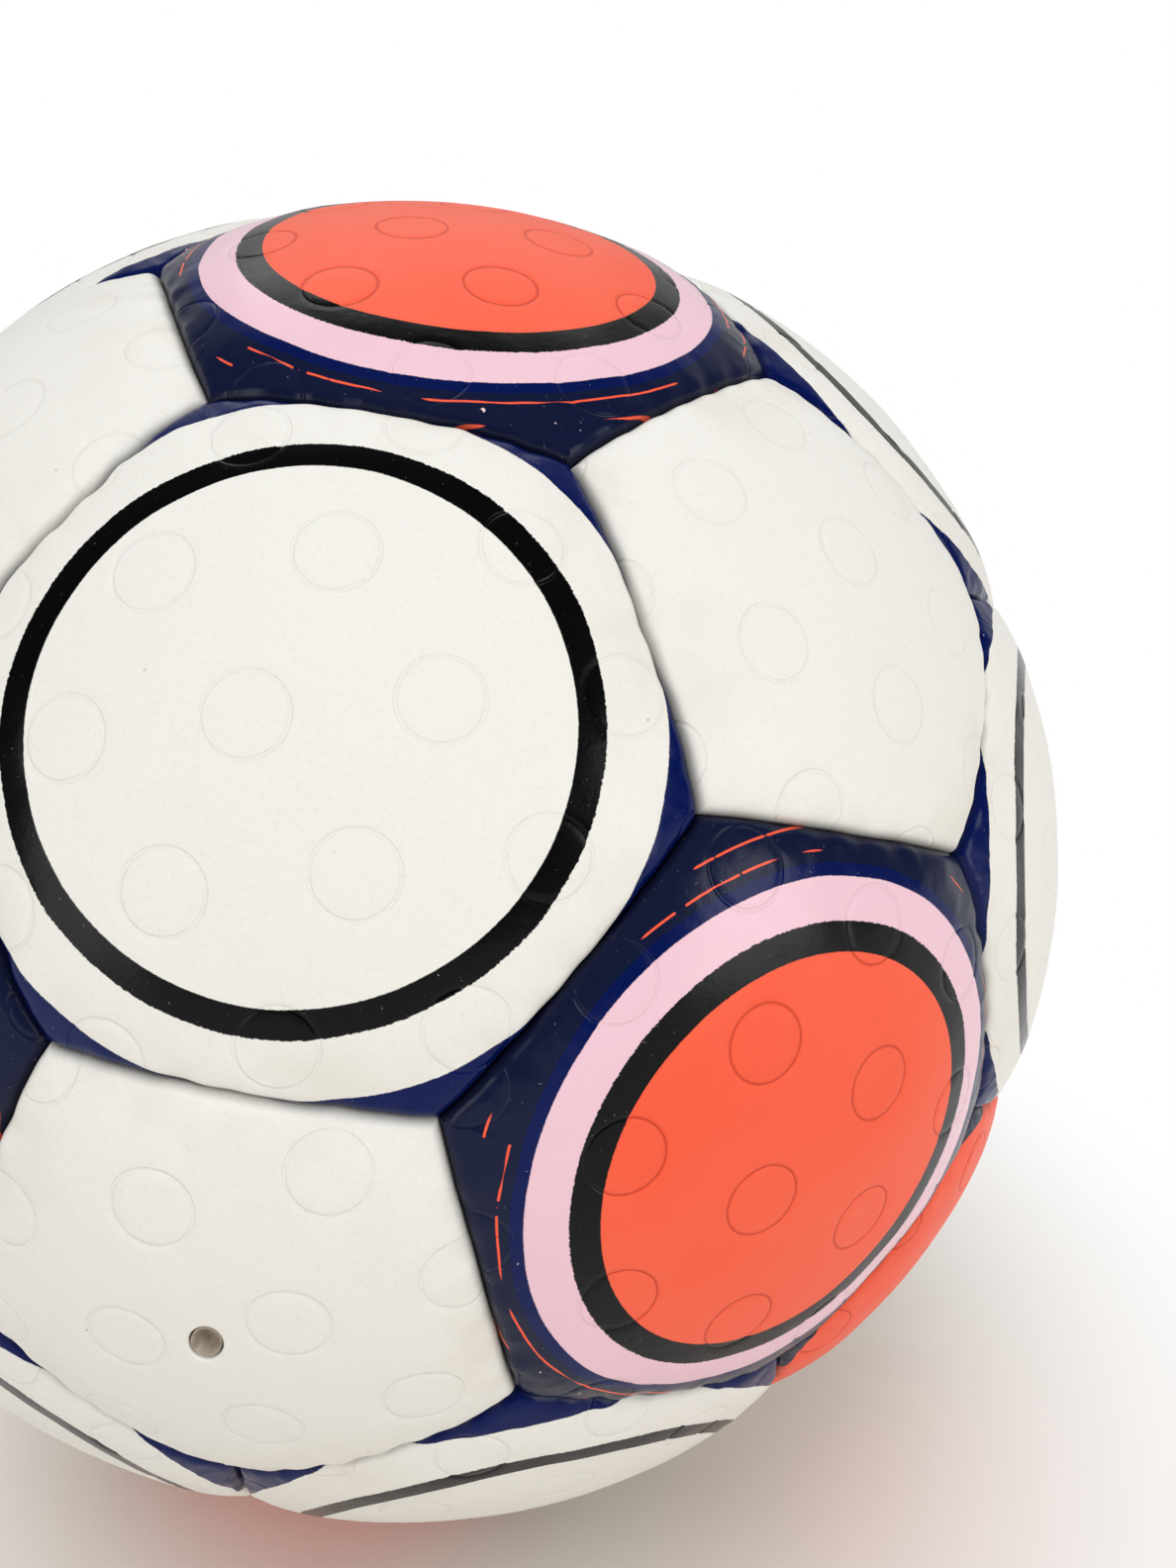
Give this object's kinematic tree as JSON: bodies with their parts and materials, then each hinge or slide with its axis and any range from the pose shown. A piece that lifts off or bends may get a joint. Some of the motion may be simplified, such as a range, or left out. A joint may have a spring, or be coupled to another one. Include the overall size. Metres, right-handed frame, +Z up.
{
  "type": "handball",
  "caption": "Hand-stitched handball of crowned pentagonal and hexagonal panels in white and orange, sewn edge to edge over an air bladder with a needle valve in one panel.",
  "frame": {"origin": "centre of the ball", "axes": "+Z up with a corner of three panels straight down, so the ball stands on their crowns; -Y is the front, where the valve panel lies just below the middle"},
  "size_m": [0.1862, 0.1868, 0.1856],
  "materials": {
    "white_cover": "satin grained synthetic leather, white with printed rings",
    "orange_cover": "satin grained synthetic leather, orange with printed rings",
    "backing": "laminated textile on foam",
    "thread": "waxed polyester thread",
    "bladder": "matt moulded rubber",
    "valve_housing": "matt moulded rubber",
    "valve_core": "pale soft rubber"
  },
  "bodies": {
    "root": {"bladder": "bladder", "hexagon_backings": "backing", "hexagon_seam_threads": "thread", "orange_hexagon_01": "orange_cover", "orange_hexagon_02": "orange_cover", "orange_hexagon_03": "orange_cover", "orange_hexagon_04": "orange_cover", "orange_hexagon_05": "orange_cover", "orange_hexagon_06": "orange_cover", "orange_pentagon_01": "orange_cover", "orange_pentagon_02": "orange_cover", "orange_pentagon_03": "orange_cover", "orange_pentagon_04": "orange_cover", "orange_pentagon_05": "orange_cover", "orange_pentagon_06": "orange_cover", "pentagon_backings": "backing", "pentagon_seam_threads": "thread", "valve_core": "valve_core", "valve_housing": "valve_housing", "valve_panel": "white_cover", "white_hexagon_01": "white_cover", "white_hexagon_02": "white_cover", "white_hexagon_03": "white_cover", "white_hexagon_04": "white_cover", "white_hexagon_05": "white_cover", "white_hexagon_06": "white_cover", "white_hexagon_07": "white_cover", "white_hexagon_08": "white_cover", "white_hexagon_09": "white_cover", "white_hexagon_10": "white_cover", "white_hexagon_11": "white_cover", "white_hexagon_12": "white_cover", "white_hexagon_13": "white_cover", "white_hexagon_14": "white_cover", "white_pentagon_01": "white_cover", "white_pentagon_02": "white_cover", "white_pentagon_03": "white_cover", "white_pentagon_04": "white_cover", "white_pentagon_05": "white_cover"}
  },
  "joints": []
}
